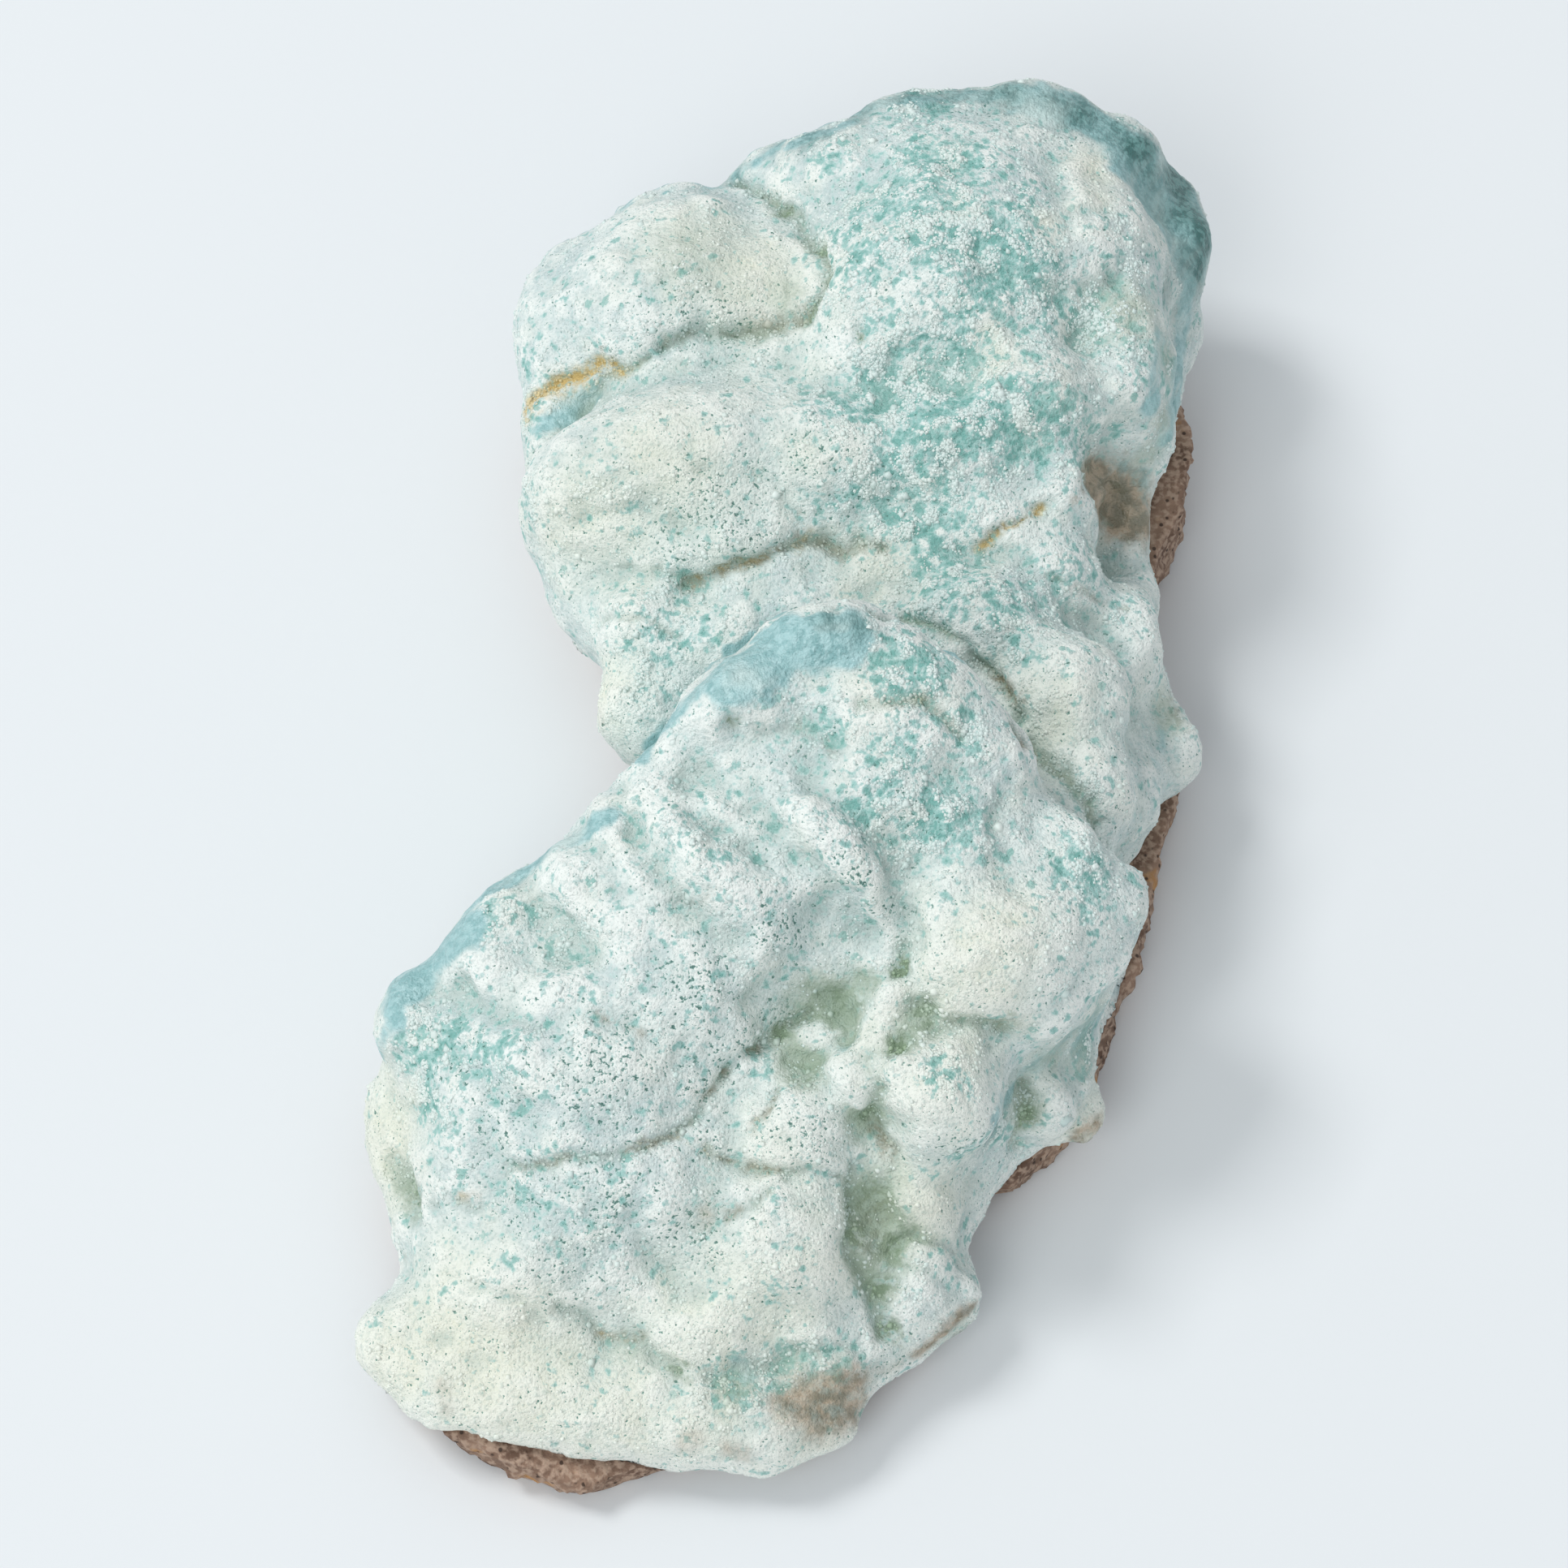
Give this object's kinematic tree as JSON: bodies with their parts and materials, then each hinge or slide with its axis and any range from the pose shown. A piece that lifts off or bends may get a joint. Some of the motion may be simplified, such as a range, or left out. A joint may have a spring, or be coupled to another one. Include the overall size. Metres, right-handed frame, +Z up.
{
  "type": "blue aragonite specimen",
  "caption": "Lumpy crust of blue-green aragonite grown over a thin brown rock slab that is cut flat underneath so that it lies on a shelf.",
  "frame": {"origin": "middle of the flat resting face of the rock slab", "axes": "+Z up from the resting face, +Y along the specimen's length towards the higher back mass, +X to the right"},
  "size_m": [0.0957, 0.1627, 0.0501],
  "materials": {
    "aragonite": "frosted crystalline crust over waxy blue-green aragonite",
    "brown_rock": "rough broken sandy iron-stained rock, sawn flat underneath"
  },
  "bodies": {
    "root": {"aragonite_crust": "aragonite", "matrix_rock": "brown_rock"}
  },
  "joints": []
}
